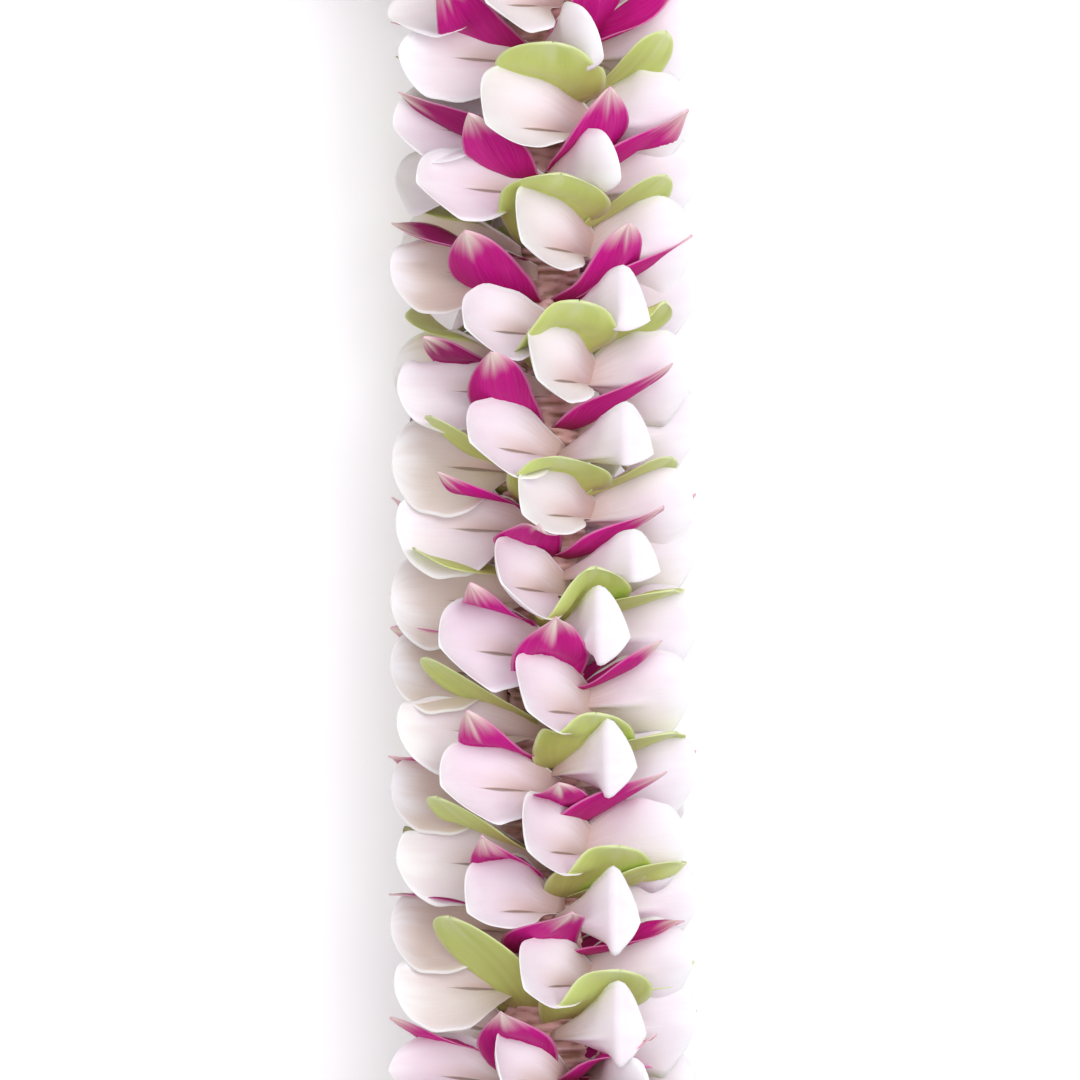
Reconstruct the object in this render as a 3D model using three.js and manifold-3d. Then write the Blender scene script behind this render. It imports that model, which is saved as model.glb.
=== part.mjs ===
// Fresh flower lei: tiers of orchid petals packed on a thread, tied in a loop and laid flat.
// Millimetres, +Z up. The surface it lies on is z = 0, and the origin is under the loop's middle.

import * as THREE from 'three';
import { mergeVertices } from 'three/addons/utils/BufferGeometryUtils.js';
import Module from 'manifold-3d';

const wasm = await Module();
wasm.setup();

const degrees = THREE.MathUtils.degToRad;

// The loop: one straight side, two ends of one radius, and a far side that bulges gently
const CLUSTERS = 33;
const CLUSTER_PITCH = 30;
const LOOP_LENGTH = CLUSTERS * CLUSTER_PITCH;
const END_RADIUS = 83;
const END_TURN = degrees(163);
const STRAIGHT_SIDE_X = 91;

// The strand
const AXIS_HEIGHT = 30;
const TIER_PITCH = CLUSTER_PITCH / 2;
const PETAL_THICKNESS = 0.85;
const PRESS_SOFTNESS = 1.6;
const TOUCHES_BELOW = 0.5;

// The petal bases packed round the thread, and the thread's way through them
const BASES_RADIUS = 5.4;
const BASES_START = -7.2;
const BASES_END = 22.3;
const BORE_RADIUS = 1.7;
const BORE_SIDES = 5;
const THREAD_RADIUS = 0.7;
const THREAD_STEPS = 2 * CLUSTERS;

// The knot sits in a gap between two clusters on the far side
const CLUSTER_AFTER_KNOT = 17;
const KNOT_RADIUS = 2.4;
const KNOT_GAP = 0.35;
const KNOT_TAIL = 7;
const KNOT_ROOM = 2 * (KNOT_RADIUS + KNOT_GAP);

// Petals of one ring. Their roots take up rootTurn each on the bases. They leave the thread at start,
// reach out to reach and climb by rise along it. Each row crosses the petal: how far along it lies
// from root to tip (0 to 1), half its width, and how many points it has.
const WHITE_OF_MAGENTA = {
  count: 5,
  rootTurn: degrees(52),
  reach: 36,
  start: 0.4,
  rise: 5.8,
  steepens: 1.3,
  groove: 2.2,
  cup: 1.3,
  rows: [
    { along: 0.6, half: 14.4, points: 3 },
    { along: 1, half: 7.5, points: 2 },
  ],
};
const WHITE_OF_GREEN = {
  ...WHITE_OF_MAGENTA,
  count: 4,
  rootTurn: degrees(66),
  rows: [
    { along: 0.58, half: 17, points: 3 },
    { along: 1, half: 9, points: 2 },
  ],
};
const MAGENTA = {
  count: 4,
  rootTurn: degrees(60),
  reach: 36,
  start: 2.8,
  rise: 15.1,
  steepens: 1.15,
  groove: -0.8,
  cup: 2,
  rows: [
    { along: 0.5, half: 12.5, points: 3 },
    { along: 1, half: 0, points: 1 },
  ],
};
const GREEN = {
  ...MAGENTA,
  reach: 34.5,
  rise: 13.4,
  cup: 1.6,
  rows: [
    { along: 0.55, half: 15, points: 3 },
    { along: 1, half: 7, points: 2 },
  ],
};

// How far one petal differs from the next
const TURN_VARIES = degrees(2.5);
const REACH_VARIES = 0.025;
const RISE_VARIES = 0.5;
const ROLL_VARIES = 0.9;

const COLORS = { petals: 0xe8d6e2, thread: 0xf2efe6 };

// A seeded draw between -1 and 1, the same on every run.
function makeDraw(seed) {
  let state = seed >>> 0;
  return () => {
    state = (Math.imul(state, 1664525) + 1013904223) >>> 0;
    return state / 2147483648 - 1;
  };
}

// The loop's arcs. The far side's centre lies on the X axis, so the loop closes.
const FAR_TURN = 2 * (Math.PI - END_TURN);
const STRAIGHT = (LOOP_LENGTH - 2 * END_RADIUS * END_TURN - END_RADIUS * FAR_TURN)
  / (1 + FAR_TURN / (2 * Math.sin(END_TURN)));
const FAR_RADIUS = END_RADIUS + STRAIGHT / (2 * Math.sin(END_TURN));

// The thread's line at a distance along the loop, with its heading. It starts at the middle of the
// straight side and runs along +Y.
function axisAt(distance) {
  const s = THREE.MathUtils.euclideanModulo(distance, LOOP_LENGTH);
  const mirrored = s > LOOP_LENGTH / 2;
  const t = mirrored ? LOOP_LENGTH - s : s;
  const endLength = END_RADIUS * END_TURN;
  let x;
  let y;
  let heading;
  if (t <= STRAIGHT / 2) {
    x = STRAIGHT_SIDE_X;
    y = t;
    heading = Math.PI / 2;
  } else if (t <= STRAIGHT / 2 + endLength) {
    const turned = (t - STRAIGHT / 2) / END_RADIUS;
    x = STRAIGHT_SIDE_X - END_RADIUS + END_RADIUS * Math.cos(turned);
    y = STRAIGHT / 2 + END_RADIUS * Math.sin(turned);
    heading = Math.PI / 2 + turned;
  } else {
    const turned = END_TURN + (t - STRAIGHT / 2 - endLength) / FAR_RADIUS;
    const centerX = STRAIGHT_SIDE_X - END_RADIUS + (END_RADIUS - FAR_RADIUS) * Math.cos(END_TURN);
    x = centerX + FAR_RADIUS * Math.cos(turned);
    y = FAR_RADIUS * Math.sin(turned);
    heading = Math.PI / 2 + turned;
  }
  if (mirrored) {
    y = -y;
    heading = Math.PI - heading;
  }
  return { x, y, heading };
}

// A point of the strand: along the thread, out from it by a radius at a turn (0 is up, a quarter is
// the loop's outer side) and sideways round that turn. What would sink below the surface is pressed
// on it.
function strandPoint(along, radius, turn, sideways = 0) {
  const { x, y, heading } = axisAt(along);
  const outward = radius * Math.sin(turn) + sideways * Math.cos(turn);
  const height = AXIS_HEIGHT + radius * Math.cos(turn) - sideways * Math.sin(turn);
  const pressed = PRESS_SOFTNESS * Math.log1p(Math.exp(height / PRESS_SOFTNESS));
  return new THREE.Vector3(
    x + Math.sin(heading) * outward,
    y - Math.cos(heading) * outward,
    pressed,
  );
}

// A closed surface, gathered point by point and triangle by triangle.
class Surface {
  constructor() {
    this.points = [];
    this.triangles = [];
  }

  add(point) {
    this.points.push(point);
    return this.points.length - 1;
  }

  triangle(a, b, c) {
    this.triangles.push(a, b, c);
  }

  quad(a, b, c, d) {
    this.triangle(a, b, c);
    this.triangle(a, c, d);
  }

  // The wall between two rings of points, the second further along the thread. Each ring is a list of
  // { index, turn } in order of turn.
  wall(lower, upper) {
    const unwrap = (ring, from) => ring.map(({ index, turn }) => (
      { index, turn: from + THREE.MathUtils.euclideanModulo(turn - from, 2 * Math.PI) }
    )).sort((p, q) => p.turn - q.turn);
    const below = unwrap(lower, lower[0].turn);
    const above = unwrap(upper, lower[0].turn);
    const full = (ring) => [...ring, { index: ring[0].index, turn: ring[0].turn + 2 * Math.PI }];
    const [first, second] = [full(below), full(above)];
    let i = 0;
    let j = 0;
    while (i < first.length - 1 || j < second.length - 1) {
      const nextFirst = i < first.length - 1 ? first[i + 1].turn : Infinity;
      const nextSecond = j < second.length - 1 ? second[j + 1].turn : Infinity;
      if (nextFirst <= nextSecond) {
        this.triangle(first[i].index, first[i + 1].index, second[j].index);
        i += 1;
      } else {
        this.triangle(first[i].index, second[j + 1].index, second[j].index);
        j += 1;
      }
    }
  }

  toGeometry() {
    const geometry = new THREE.BufferGeometry().setFromPoints(this.points);
    geometry.setIndex(this.triangles);
    return geometry;
  }
}

// A plain ring of points round the thread.
function plainRing(surface, along, radius) {
  return Array.from({ length: BORE_SIDES }, (_, i) => {
    const turn = (2 * Math.PI * i) / BORE_SIDES;
    return { index: surface.add(strandPoint(along, radius, turn)), turn };
  });
}

// The mid-surface of one petal, as rows of points from its root to its tip.
function petalRows(kind, tierAlong, turn, draw) {
  const reach = kind.reach * (1 + REACH_VARIES * draw());
  const rise = kind.rise + RISE_VARIES * draw();
  const roll = ROLL_VARIES * draw();
  const start = tierAlong + kind.start;
  const root = [-0.5, 0.5].map((side) => strandPoint(start, BASES_RADIUS, turn + side * kind.rootTurn));
  const blade = kind.rows.map(({ along, half, points }) => {
    const out = THREE.MathUtils.lerp(BASES_RADIUS, reach, along);
    const climbed = start + rise * along ** kind.steepens;
    return Array.from({ length: points }, (_, i) => {
      const across = points === 1 ? 0 : (2 * i) / (points - 1) - 1;
      const bend = (kind.cup * across ** 2 - kind.groove * (1 - across ** 2)) * along;
      return strandPoint(climbed + bend + roll * across * along, out, turn, half * across);
    });
  });
  return [root, ...blade];
}

// Triangles between two rows of points, split alike from both ends, facing along the thread.
function stripBetween(lower, upper) {
  const triangles = [];
  let i = 0;
  let j = 0;
  while (i < lower.length - 1 || j < upper.length - 1) {
    const nextLower = i < lower.length - 1 ? (i + 1) / (lower.length - 1) : Infinity;
    const nextUpper = j < upper.length - 1 ? (j + 1) / (upper.length - 1) : Infinity;
    if (nextUpper < nextLower) {
      triangles.push([lower[i], upper[j], upper[j + 1]]);
      j += 1;
    } else {
      triangles.push([lower[i + 1], lower[i], upper[j]]);
      i += 1;
    }
  }
  return triangles;
}

// The way to offset each point of a petal's mid-surface: square to it, and along the thread at the root.
function petalNormals(points, faces, threadWay) {
  const normals = points.map(() => new THREE.Vector3());
  const triangle = new THREE.Triangle();
  for (const face of faces) {
    triangle.set(...face.map((i) => points[i]));
    const normal = triangle.getNormal(new THREE.Vector3()).multiplyScalar(triangle.getArea());
    face.forEach((i) => normals[i].add(normal));
  }
  normals[0].copy(threadWay);
  normals[1].copy(threadWay);
  return normals.map((normal) => normal.normalize());
}

// Adds one petal, a blade of even thickness that is open at its root. Gives back its root's two
// corners on each side, which the ring of the bases joins.
function addPetal(surface, rows, threadWay) {
  const points = rows.flat();
  let count = 0;
  const numbered = rows.map((row) => {
    const numbers = row.map((_, i) => count + i);
    count += row.length;
    return numbers;
  });
  const faces = numbered.slice(1).flatMap((row, i) => stripBetween(numbered[i], row));
  const normals = petalNormals(points, faces, threadWay);
  const layer = (side) => points.map((point, i) => (
    surface.add(point.clone().addScaledVector(normals[i], (side * PETAL_THICKNESS) / 2))
  ));
  const front = layer(1);
  const back = layer(-1);
  for (const [a, b, c] of faces) {
    surface.triangle(front[a], front[b], front[c]);
    surface.triangle(back[a], back[c], back[b]);
  }
  const leftSide = numbered.map((row) => row[0]);
  const rightSide = numbered.map((row) => row.at(-1)).reverse();
  const tip = numbered.at(-1).slice(1, -1);
  const rim = [...new Set([...leftSide, ...tip, ...rightSide])];
  for (let i = 0; i < rim.length - 1; i += 1) {
    const [p, q] = [rim[i], rim[i + 1]];
    surface.quad(back[p], back[q], front[q], front[p]);
  }
  return { back: back.slice(0, 2), front: front.slice(0, 2) };
}

// Adds one ring of petals with the band of the bases that they grow from. Gives back the band's
// lower and upper ring of points.
function addPetalRing(surface, kind, tierAlong, phase, draw) {
  const lower = [];
  const upper = [];
  const { heading } = axisAt(tierAlong + kind.start);
  const threadWay = new THREE.Vector3(Math.cos(heading), Math.sin(heading), 0);
  for (let i = 0; i < kind.count; i += 1) {
    const turn = phase + (2 * Math.PI * i) / kind.count + TURN_VARIES * draw();
    const roots = addPetal(surface, petalRows(kind, tierAlong, turn, draw), threadWay);
    [-0.5, 0.5].forEach((side, k) => {
      lower.push({ index: roots.back[k], turn: turn + side * kind.rootTurn });
      upper.push({ index: roots.front[k], turn: turn + side * kind.rootTurn });
    });
  }
  for (let i = 1; i < lower.length; i += 2) {
    const next = (i + 1) % lower.length;
    surface.quad(lower[i].index, lower[next].index, upper[next].index, upper[i].index);
  }
  return { lower, upper };
}

// One cluster as one closed body: a magenta tier and a green tier, each with its white petals, on the
// bases that are packed round the thread.
function clusterGeometry(number) {
  const surface = new Surface();
  const draw = makeDraw(7919 * number);
  const start = (number - 1) * CLUSTER_PITCH;
  const room = number === CLUSTER_AFTER_KNOT ? KNOT_ROOM : 0;
  const ends = [start + BASES_START + room, start + BASES_END];
  const stations = [ends[0], (ends[0] + ends[1]) / 2, ends[1]];
  const bore = stations.map((along) => plainRing(surface, along, BORE_RADIUS));
  const [startRing, endRing] = ends.map((along) => plainRing(surface, along, BASES_RADIUS));
  for (let i = 0; i < BORE_SIDES; i += 1) {
    const j = (i + 1) % BORE_SIDES;
    surface.quad(bore[0][i].index, bore[0][j].index, startRing[j].index, startRing[i].index);
    surface.quad(bore[2][j].index, bore[2][i].index, endRing[i].index, endRing[j].index);
    for (const [near, far] of [[bore[0], bore[1]], [bore[1], bore[2]]]) {
      surface.quad(near[j].index, near[i].index, far[i].index, far[j].index);
    }
  }
  let below = startRing;
  const tiers = [[WHITE_OF_MAGENTA, MAGENTA, 0], [WHITE_OF_GREEN, GREEN, TIER_PITCH]];
  for (const [white, colored, along] of tiers) {
    const phase = Math.PI * draw();
    for (const [kind, turned] of [[white, phase], [colored, phase + Math.PI / white.count]]) {
      const { lower, upper } = addPetalRing(surface, kind, start + along, turned, draw);
      surface.wall(below, lower);
      below = upper;
    }
  }
  surface.wall(below, endRing);
  for (const point of surface.points) {
    if (point.z < TOUCHES_BELOW) point.z = 0;
  }
  return surface.toGeometry();
}

// Reads a closed geometry as a solid that can be joined.
function toSolid(geometry) {
  let bare = geometry.clone();
  for (const name of Object.keys(bare.attributes)) {
    if (name !== 'position') bare.deleteAttribute(name);
  }
  bare = mergeVertices(bare, 1e-4);
  return new wasm.Manifold(new wasm.Mesh({
    numProp: 3,
    vertProperties: new Float32Array(bare.attributes.position.array),
    triVerts: new Uint32Array(bare.index.array),
  }));
}

// Gives a solid back as a geometry.
function toGeometry(solid) {
  const mesh = solid.getMesh();
  const geometry = new THREE.BufferGeometry();
  geometry.setAttribute('position', new THREE.BufferAttribute(mesh.vertProperties.slice(), 3));
  geometry.setIndex(new THREE.BufferAttribute(mesh.triVerts.slice(), 1));
  return geometry;
}

const petalMaterial = new THREE.MeshStandardMaterial({ color: COLORS.petals, roughness: 0.55 });
const threadMaterial = new THREE.MeshStandardMaterial({ color: COLORS.thread, roughness: 0.9 });

// A mesh whose geometry is given where it lies, placed by its point and heading on the loop.
function placedMesh(name, geometry, material, distance) {
  const { x, y, heading } = axisAt(distance);
  const mesh = new THREE.Mesh(geometry, material.clone());
  mesh.name = name;
  mesh.position.set(x, y, 0);
  mesh.rotation.z = heading - Math.PI / 2;
  mesh.updateMatrix();
  geometry.applyMatrix4(mesh.matrix.clone().invert());
  geometry.computeVertexNormals();
  return mesh;
}

// The thread's line as a curve, from one side of the knot round to the other.
class ThreadLine extends THREE.Curve {
  constructor(from, to) {
    super();
    this.from = from;
    this.to = to;
  }

  getPoint(t, target = new THREE.Vector3()) {
    const { x, y } = axisAt(THREE.MathUtils.lerp(this.from, this.to, t));
    return target.set(x, y, AXIS_HEIGHT);
  }
}

function threadGeometry(from, to) {
  const section = new THREE.Shape(
    Array.from({ length: BORE_SIDES }, (_, i) => {
      const angle = (2 * Math.PI * i) / BORE_SIDES;
      return new THREE.Vector2(THREAD_RADIUS * Math.cos(angle), THREAD_RADIUS * Math.sin(angle));
    }),
  );
  return new THREE.ExtrudeGeometry(section, {
    steps: THREAD_STEPS,
    extrudePath: new ThreadLine(from, to),
  });
}

// The knot: a round lump with two short tails.
function knotGeometry(distance) {
  const { x, y, heading } = axisAt(distance);
  let solid = toSolid(new THREE.SphereGeometry(KNOT_RADIUS, 8, 6));
  for (const lean of [degrees(35), degrees(-50)]) {
    const tail = new THREE.CylinderGeometry(THREAD_RADIUS, THREAD_RADIUS, KNOT_TAIL, BORE_SIDES)
      .translate(0, KNOT_TAIL / 2 + KNOT_RADIUS / 2, 0)
      .rotateX(Math.PI / 2)
      .rotateY(lean);
    solid = solid.add(toSolid(tail));
  }
  return toGeometry(solid).rotateZ(heading - Math.PI / 2).translate(x, y, AXIS_HEIGHT);
}

const lei = new THREE.Group();
for (let number = 1; number <= CLUSTERS; number += 1) {
  const name = `petal_cluster_${String(number).padStart(2, '0')}`;
  const distance = (number - 1) * CLUSTER_PITCH;
  lei.add(placedMesh(name, clusterGeometry(number), petalMaterial, distance));
}

const knotAt = (CLUSTER_AFTER_KNOT - 1) * CLUSTER_PITCH + BASES_START + KNOT_ROOM / 2;
const threadStart = knotAt + KNOT_RADIUS + KNOT_GAP;
const threadEnd = knotAt + LOOP_LENGTH - KNOT_RADIUS - KNOT_GAP;
lei.add(placedMesh('thread', threadGeometry(threadStart, threadEnd), threadMaterial, 0));
lei.add(placedMesh('thread_knot', knotGeometry(knotAt), threadMaterial, knotAt));

export default lei;
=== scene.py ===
"""A fresh flower lei, laid flat in a long loop: folded white petals under magenta and green ones.

Lengths of petals are in millimetres in the strand's own frame (outward, along, up), and become metres
when they are laid along the thread's line. Azimuths turn round the thread: 0 is up, 90 is outward.
A place on a petal is u from 0 at its root to 1 at its tip, and v from -1 to 1 across it.
"""
import logging
import math
from dataclasses import dataclass, replace
from enum import Enum
from typing import NamedTuple

import bpy
import numpy as np
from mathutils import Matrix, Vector


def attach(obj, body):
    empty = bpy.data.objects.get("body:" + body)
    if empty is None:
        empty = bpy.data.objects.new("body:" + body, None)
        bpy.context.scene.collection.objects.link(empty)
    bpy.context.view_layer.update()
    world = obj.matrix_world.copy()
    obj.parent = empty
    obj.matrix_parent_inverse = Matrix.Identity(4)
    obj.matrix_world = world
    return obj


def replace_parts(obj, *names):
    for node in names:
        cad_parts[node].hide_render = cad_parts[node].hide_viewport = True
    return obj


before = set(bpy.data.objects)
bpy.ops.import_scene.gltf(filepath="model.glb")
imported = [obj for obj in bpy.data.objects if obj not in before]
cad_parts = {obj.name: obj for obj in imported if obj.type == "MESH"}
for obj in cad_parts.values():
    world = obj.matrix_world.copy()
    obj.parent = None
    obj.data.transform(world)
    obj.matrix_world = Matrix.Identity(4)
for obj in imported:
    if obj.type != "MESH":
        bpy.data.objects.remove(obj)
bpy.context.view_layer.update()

MM = 0.001
TURN = 2.0 * math.pi
CLUSTERS = 33
CLUSTER_PITCH = 30.0
GREEN_TIER_AT = 15.0
LAST_BEFORE_KNOT = 16
TIER_SEED, GREEN_SEED, PLEATS_SEED = 7919, 40009, 104729
PLACE_COLUMNS = 5
RGB = tuple[float, float, float]
Arrays = tuple[np.ndarray, np.ndarray]
log = logging.getLogger("flower_lei")


class Colour(Enum):
    """The kinds of surface, each with the name of its slot."""

    WHITE = "white_petal"
    MAGENTA = "magenta_petal"
    GREEN = "green_petal"
    PLEATS = "petal_base"
    THREAD = "thread"


def eased(value: np.ndarray, start: float, end: float) -> np.ndarray:
    """Rises smoothly from 0 at start to 1 at end.

    Args:
        value: the places to look at.
        start: where the rise starts.
        end: where it is over.

    Returns:
        The share at each place.
    """
    share = np.clip((value - start) / (end - start), 0.0, 1.0)
    return share * share * (3.0 - 2.0 * share)


def fading(value: np.ndarray, start: float, end: float) -> np.ndarray:
    """Falls smoothly from 1 at start to 0 at end, as eased does the other way."""
    return eased(-value, -end, -start)


def round_thread(radius: np.ndarray, turn: np.ndarray, along: np.ndarray) -> np.ndarray:
    """Gives points round the thread, in the strand's frame, from radius, angle and place along it."""
    return np.stack([radius * np.sin(turn), along, radius * np.cos(turn)], axis=-1)


@dataclass(frozen=True)
class LoopPath:
    """The thread's closed line as it lies on the table, in metres, as the part's source has it."""

    loop_length: float = 0.990
    end_radius: float = 0.083
    end_turn: float = math.radians(163.0)
    side_x: float = 0.091
    axis_height: float = 0.030
    press_softness: float = 0.0016

    @property
    def far_turn(self) -> float:
        """The angle that the long inner side turns through."""
        return 2.0 * (math.pi - self.end_turn)

    @property
    def straight(self) -> float:
        """The length of the straight side."""
        ends = 2.0 * self.end_radius * self.end_turn + self.end_radius * self.far_turn
        return (self.loop_length - ends) / (1.0 + self.far_turn / (2.0 * math.sin(self.end_turn)))

    @property
    def far_radius(self) -> float:
        """The radius of the long inner side."""
        return self.end_radius + self.straight / (2.0 * math.sin(self.end_turn))

    def axis_at(self, distance: np.ndarray) -> tuple[np.ndarray, np.ndarray, np.ndarray]:
        """Follows the thread's line.

        Args:
            distance: distances along the line from the middle of its straight side.

        Returns:
            The line's x, y and heading at each distance.
        """
        s = np.mod(distance, self.loop_length)
        mirrored = s > self.loop_length / 2
        t = np.where(mirrored, self.loop_length - s, s)
        half, end_length = self.straight / 2, self.end_radius * self.end_turn
        turned = (t - half) / self.end_radius
        far = self.end_turn + (t - half - end_length) / self.far_radius
        middle = self.side_x - self.end_radius
        far_middle = middle + (self.end_radius - self.far_radius) * math.cos(self.end_turn)
        on_straight, on_end = t <= half, t <= half + end_length
        end_x = middle + self.end_radius * np.cos(turned)
        end_y = half + self.end_radius * np.sin(turned)
        x = np.where(on_end, end_x, far_middle + self.far_radius * np.cos(far))
        y = np.where(on_end, end_y, self.far_radius * np.sin(far))
        heading = math.pi / 2 + np.where(on_end, turned, far)
        x = np.where(on_straight, self.side_x, x)
        y = np.where(on_straight, t, y)
        heading = np.where(on_straight, math.pi / 2, heading)
        return x, np.where(mirrored, -y, y), np.where(mirrored, math.pi - heading, heading)

    def laid(self, station: float, local: np.ndarray) -> np.ndarray:
        """Lays points of the strand along the line and presses them on the table.

        Args:
            station: the distance along the line that the points count from, in millimetres.
            local: points as (outward, along, up) in millimetres.

        Returns:
            The points in metres.
        """
        x, y, heading = self.axis_at((station + local[..., 1]) * MM)
        outward = local[..., 0] * MM
        height = self.axis_height + local[..., 2] * MM
        z = self.press_softness * np.logaddexp(0.0, height / self.press_softness)
        return np.stack([x + np.sin(heading) * outward, y - np.cos(heading) * outward, z], axis=-1)


PATH = LoopPath()


@dataclass(frozen=True)
class Outline:
    """How a petal's half-width runs from its root to its tip, as a share of its widest.

    It opens until the place widest, and closes from the place closes, or from widest where that is 0.
    """

    root: float
    widest: float
    closing: float
    fullness: float
    least: float = 0.012
    opening: float = 1.0
    closes: float = 0.0

    def at(self, u: np.ndarray) -> np.ndarray:
        """Gives the half-width's share at each place along the petal.

        Args:
            u: places along the petal.

        Returns:
            The share at each of them.
        """
        early = np.sin(0.5 * math.pi * np.clip(u / self.widest, 0.0, 1.0)) ** self.opening
        opening = self.root + (1.0 - self.root) * early
        closes = self.closes or self.widest
        past = np.clip((u - closes) / (1.0 - closes), 0.0, 1.0)
        return np.maximum(opening * (1.0 - past**self.closing) ** self.fullness, self.least)


ROUND_WHITE = Outline(root=0.28, widest=0.66, closing=2.4, fullness=0.52)
FANNED_WHITE = Outline(root=0.12, widest=1.15, closing=1.0, fullness=0.72, opening=1.3, closes=0.77)
POINTED_WHITE = Outline(root=0.28, widest=0.62, closing=2.0, fullness=0.62)
POINTED_MAGENTA = Outline(root=0.58, widest=0.52, closing=1.85, fullness=0.92)
ROUND_GREEN = Outline(root=0.34, widest=0.66, closing=2.6, fullness=0.5)


@dataclass
class Blade:
    """One petal's sheet of points and what its finish needs to know of it."""

    points: np.ndarray
    u: np.ndarray
    v: np.ndarray
    chance: float
    # how much painted shade its colour takes, for a petal that lies in shade
    painted_shade: float


def petal_grid(by_hand: bool) -> Arrays:
    """Gives the places of a petal's points, closer together at its tip and at its midrib.

    Args:
        by_hand: whether the petal is one of those listed one by one, which have more points.

    Returns:
        The places along it and across it.
    """
    rows, columns = (24, 17) if by_hand else (14, 11)
    across = np.linspace(-1.0, 1.0, columns)
    return 1.0 - (1.0 - np.linspace(0.0, 1.0, rows)) ** 1.7, across * (0.45 + 0.55 * np.abs(across))


def evened(shift: np.ndarray, rounds: int = 3) -> np.ndarray:
    """Evens out how far a petal's neighbouring points are shifted.

    Args:
        shift: the shifts over the petal's grid.
        rounds: how often they are evened out.

    Returns:
        The smoother shifts.
    """
    for _ in range(rounds):
        wide = np.pad(shift, 1, mode="edge")
        beside = wide[:-2, 1:-1] + wide[2:, 1:-1] + wide[1:-1, :-2] + wide[1:-1, 2:]
        shift = (4.0 * shift + beside) / 8.0
    return shift


class SectionMap:
    """A map over the strand's cross-section, in cells of a millimetre, of a place along the thread."""

    REACH = 40
    SOFTNESS = 0.8
    BETWEEN = (0.0, 1 / 3, 2 / 3)
    NEIGHBOURS = ((0, 1), (2, 1), (1, 0), (1, 2), (0, 0), (0, 2), (2, 0), (2, 2))

    def __init__(self, start: float) -> None:
        """Starts an even map with one value."""
        self.values = np.full((2 * self.REACH + 1,) * 2, start)

    def gather(self, sheet: np.ndarray, pick: np.ufunc) -> None:
        """Takes in a petal's sheet.

        Args:
            sheet: the petal's points.
            pick: which of two places along the thread a cell keeps.
        """
        for row in self.BETWEEN:
            between = sheet[:-1] * (1.0 - row) + sheet[1:] * row
            for column in self.BETWEEN:
                points = between[:, :-1] * (1.0 - column) + between[:, 1:] * column
                cell = np.clip(np.rint(points[..., [0, 2]] + self.REACH).astype(int), 0, 2 * self.REACH)
                pick.at(self.values, (cell[..., 0], cell[..., 1]), points[..., 1])

    def spread(self, slope: float, pick: np.ufunc, rounds: int = 16) -> None:
        """Lets the values fade round where they were taken in.

        Args:
            slope: how much they change for each millimetre away.
            pick: which of two values a cell keeps.
            rounds: how many cells far they fade.
        """
        rows, columns = self.values.shape
        for _ in range(rounds):
            wide = np.pad(self.values, 1, mode="edge")
            for i, j in self.NEIGHBOURS:
                far = math.hypot(i - 1, j - 1)
                self.values = pick(self.values, wide[i : i + rows, j : j + columns] + slope * far)

    def sample(self, x: np.ndarray, z: np.ndarray) -> np.ndarray:
        """Reads the map between its cells.

        Args:
            x: where it is read, outward.
            z: where it is read, upward.

        Returns:
            Its values.
        """
        x = np.clip(x + self.REACH, 0.0, 2.0 * self.REACH - 0.01)
        z = np.clip(z + self.REACH, 0.0, 2.0 * self.REACH - 0.01)
        i, j = x.astype(int), z.astype(int)
        fx, fz = x - i, z - j
        low = self.values[i, j] * (1.0 - fz) + self.values[i, j + 1] * fz
        high = self.values[i + 1, j] * (1.0 - fz) + self.values[i + 1, j + 1] * fz
        return low * (1.0 - fx) + high * fx

    def cleared(self, over: np.ndarray) -> np.ndarray:
        """Gives how far a petal's points move so that none is over a limit.

        Args:
            over: how far each point is over it, below 0 where it isn't.

        Returns:
            The smooth shifts.
        """
        steps = np.clip(over / self.SOFTNESS, -30.0, 60.0)
        return evened(self.SOFTNESS * np.logaddexp(0.0, steps))


class Nest(SectionMap):
    """The underside of a tier's white petals; the tier under it stays below."""

    OPEN = 60.0
    SLOPE = 1.8
    CLEARANCE = 0.6

    def __init__(self) -> None:
        """Starts open."""
        super().__init__(self.OPEN)

    def cover(self, sheet: np.ndarray) -> None:
        """Adds a white petal's sheet."""
        self.gather(sheet, np.minimum)

    def settle(self) -> None:
        """Lets the underside rise round the petals' edges."""
        self.spread(self.SLOPE, np.minimum)


class Screen(SectionMap):
    """The upper edge of a white petal; the coloured petal behind it rises beyond."""

    OPEN = -60.0
    SLOPE = -1.5
    CLEARANCE = 0.5
    SHADOW = 24

    def __init__(self, blade: Blade) -> None:
        """Takes in a petal, and keeps its edge's place in the shadow outside it.

        Args:
            blade: the white petal.
        """
        super().__init__(self.OPEN)
        self.gather(blade.points, np.maximum)
        self.spread(self.SLOPE, np.maximum)
        cells = np.arange(-self.REACH, self.REACH + 1).astype(float)
        x, z = np.meshgrid(cells, cells, indexing="ij")
        inward = 1.0 - 1.0 / np.maximum(np.hypot(x, z), 2.0)
        for _ in range(self.SHADOW):
            self.values = np.maximum(self.values, self.sample(x * inward, z * inward))

    def lift(self, blade: Blade) -> None:
        """Lifts a cup's petal beyond the white one's edge."""
        edge = self.sample(blade.points[..., 0], blade.points[..., 2]) + self.CLEARANCE
        blade.points[..., 1] += self.cleared(edge - blade.points[..., 1])


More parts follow.
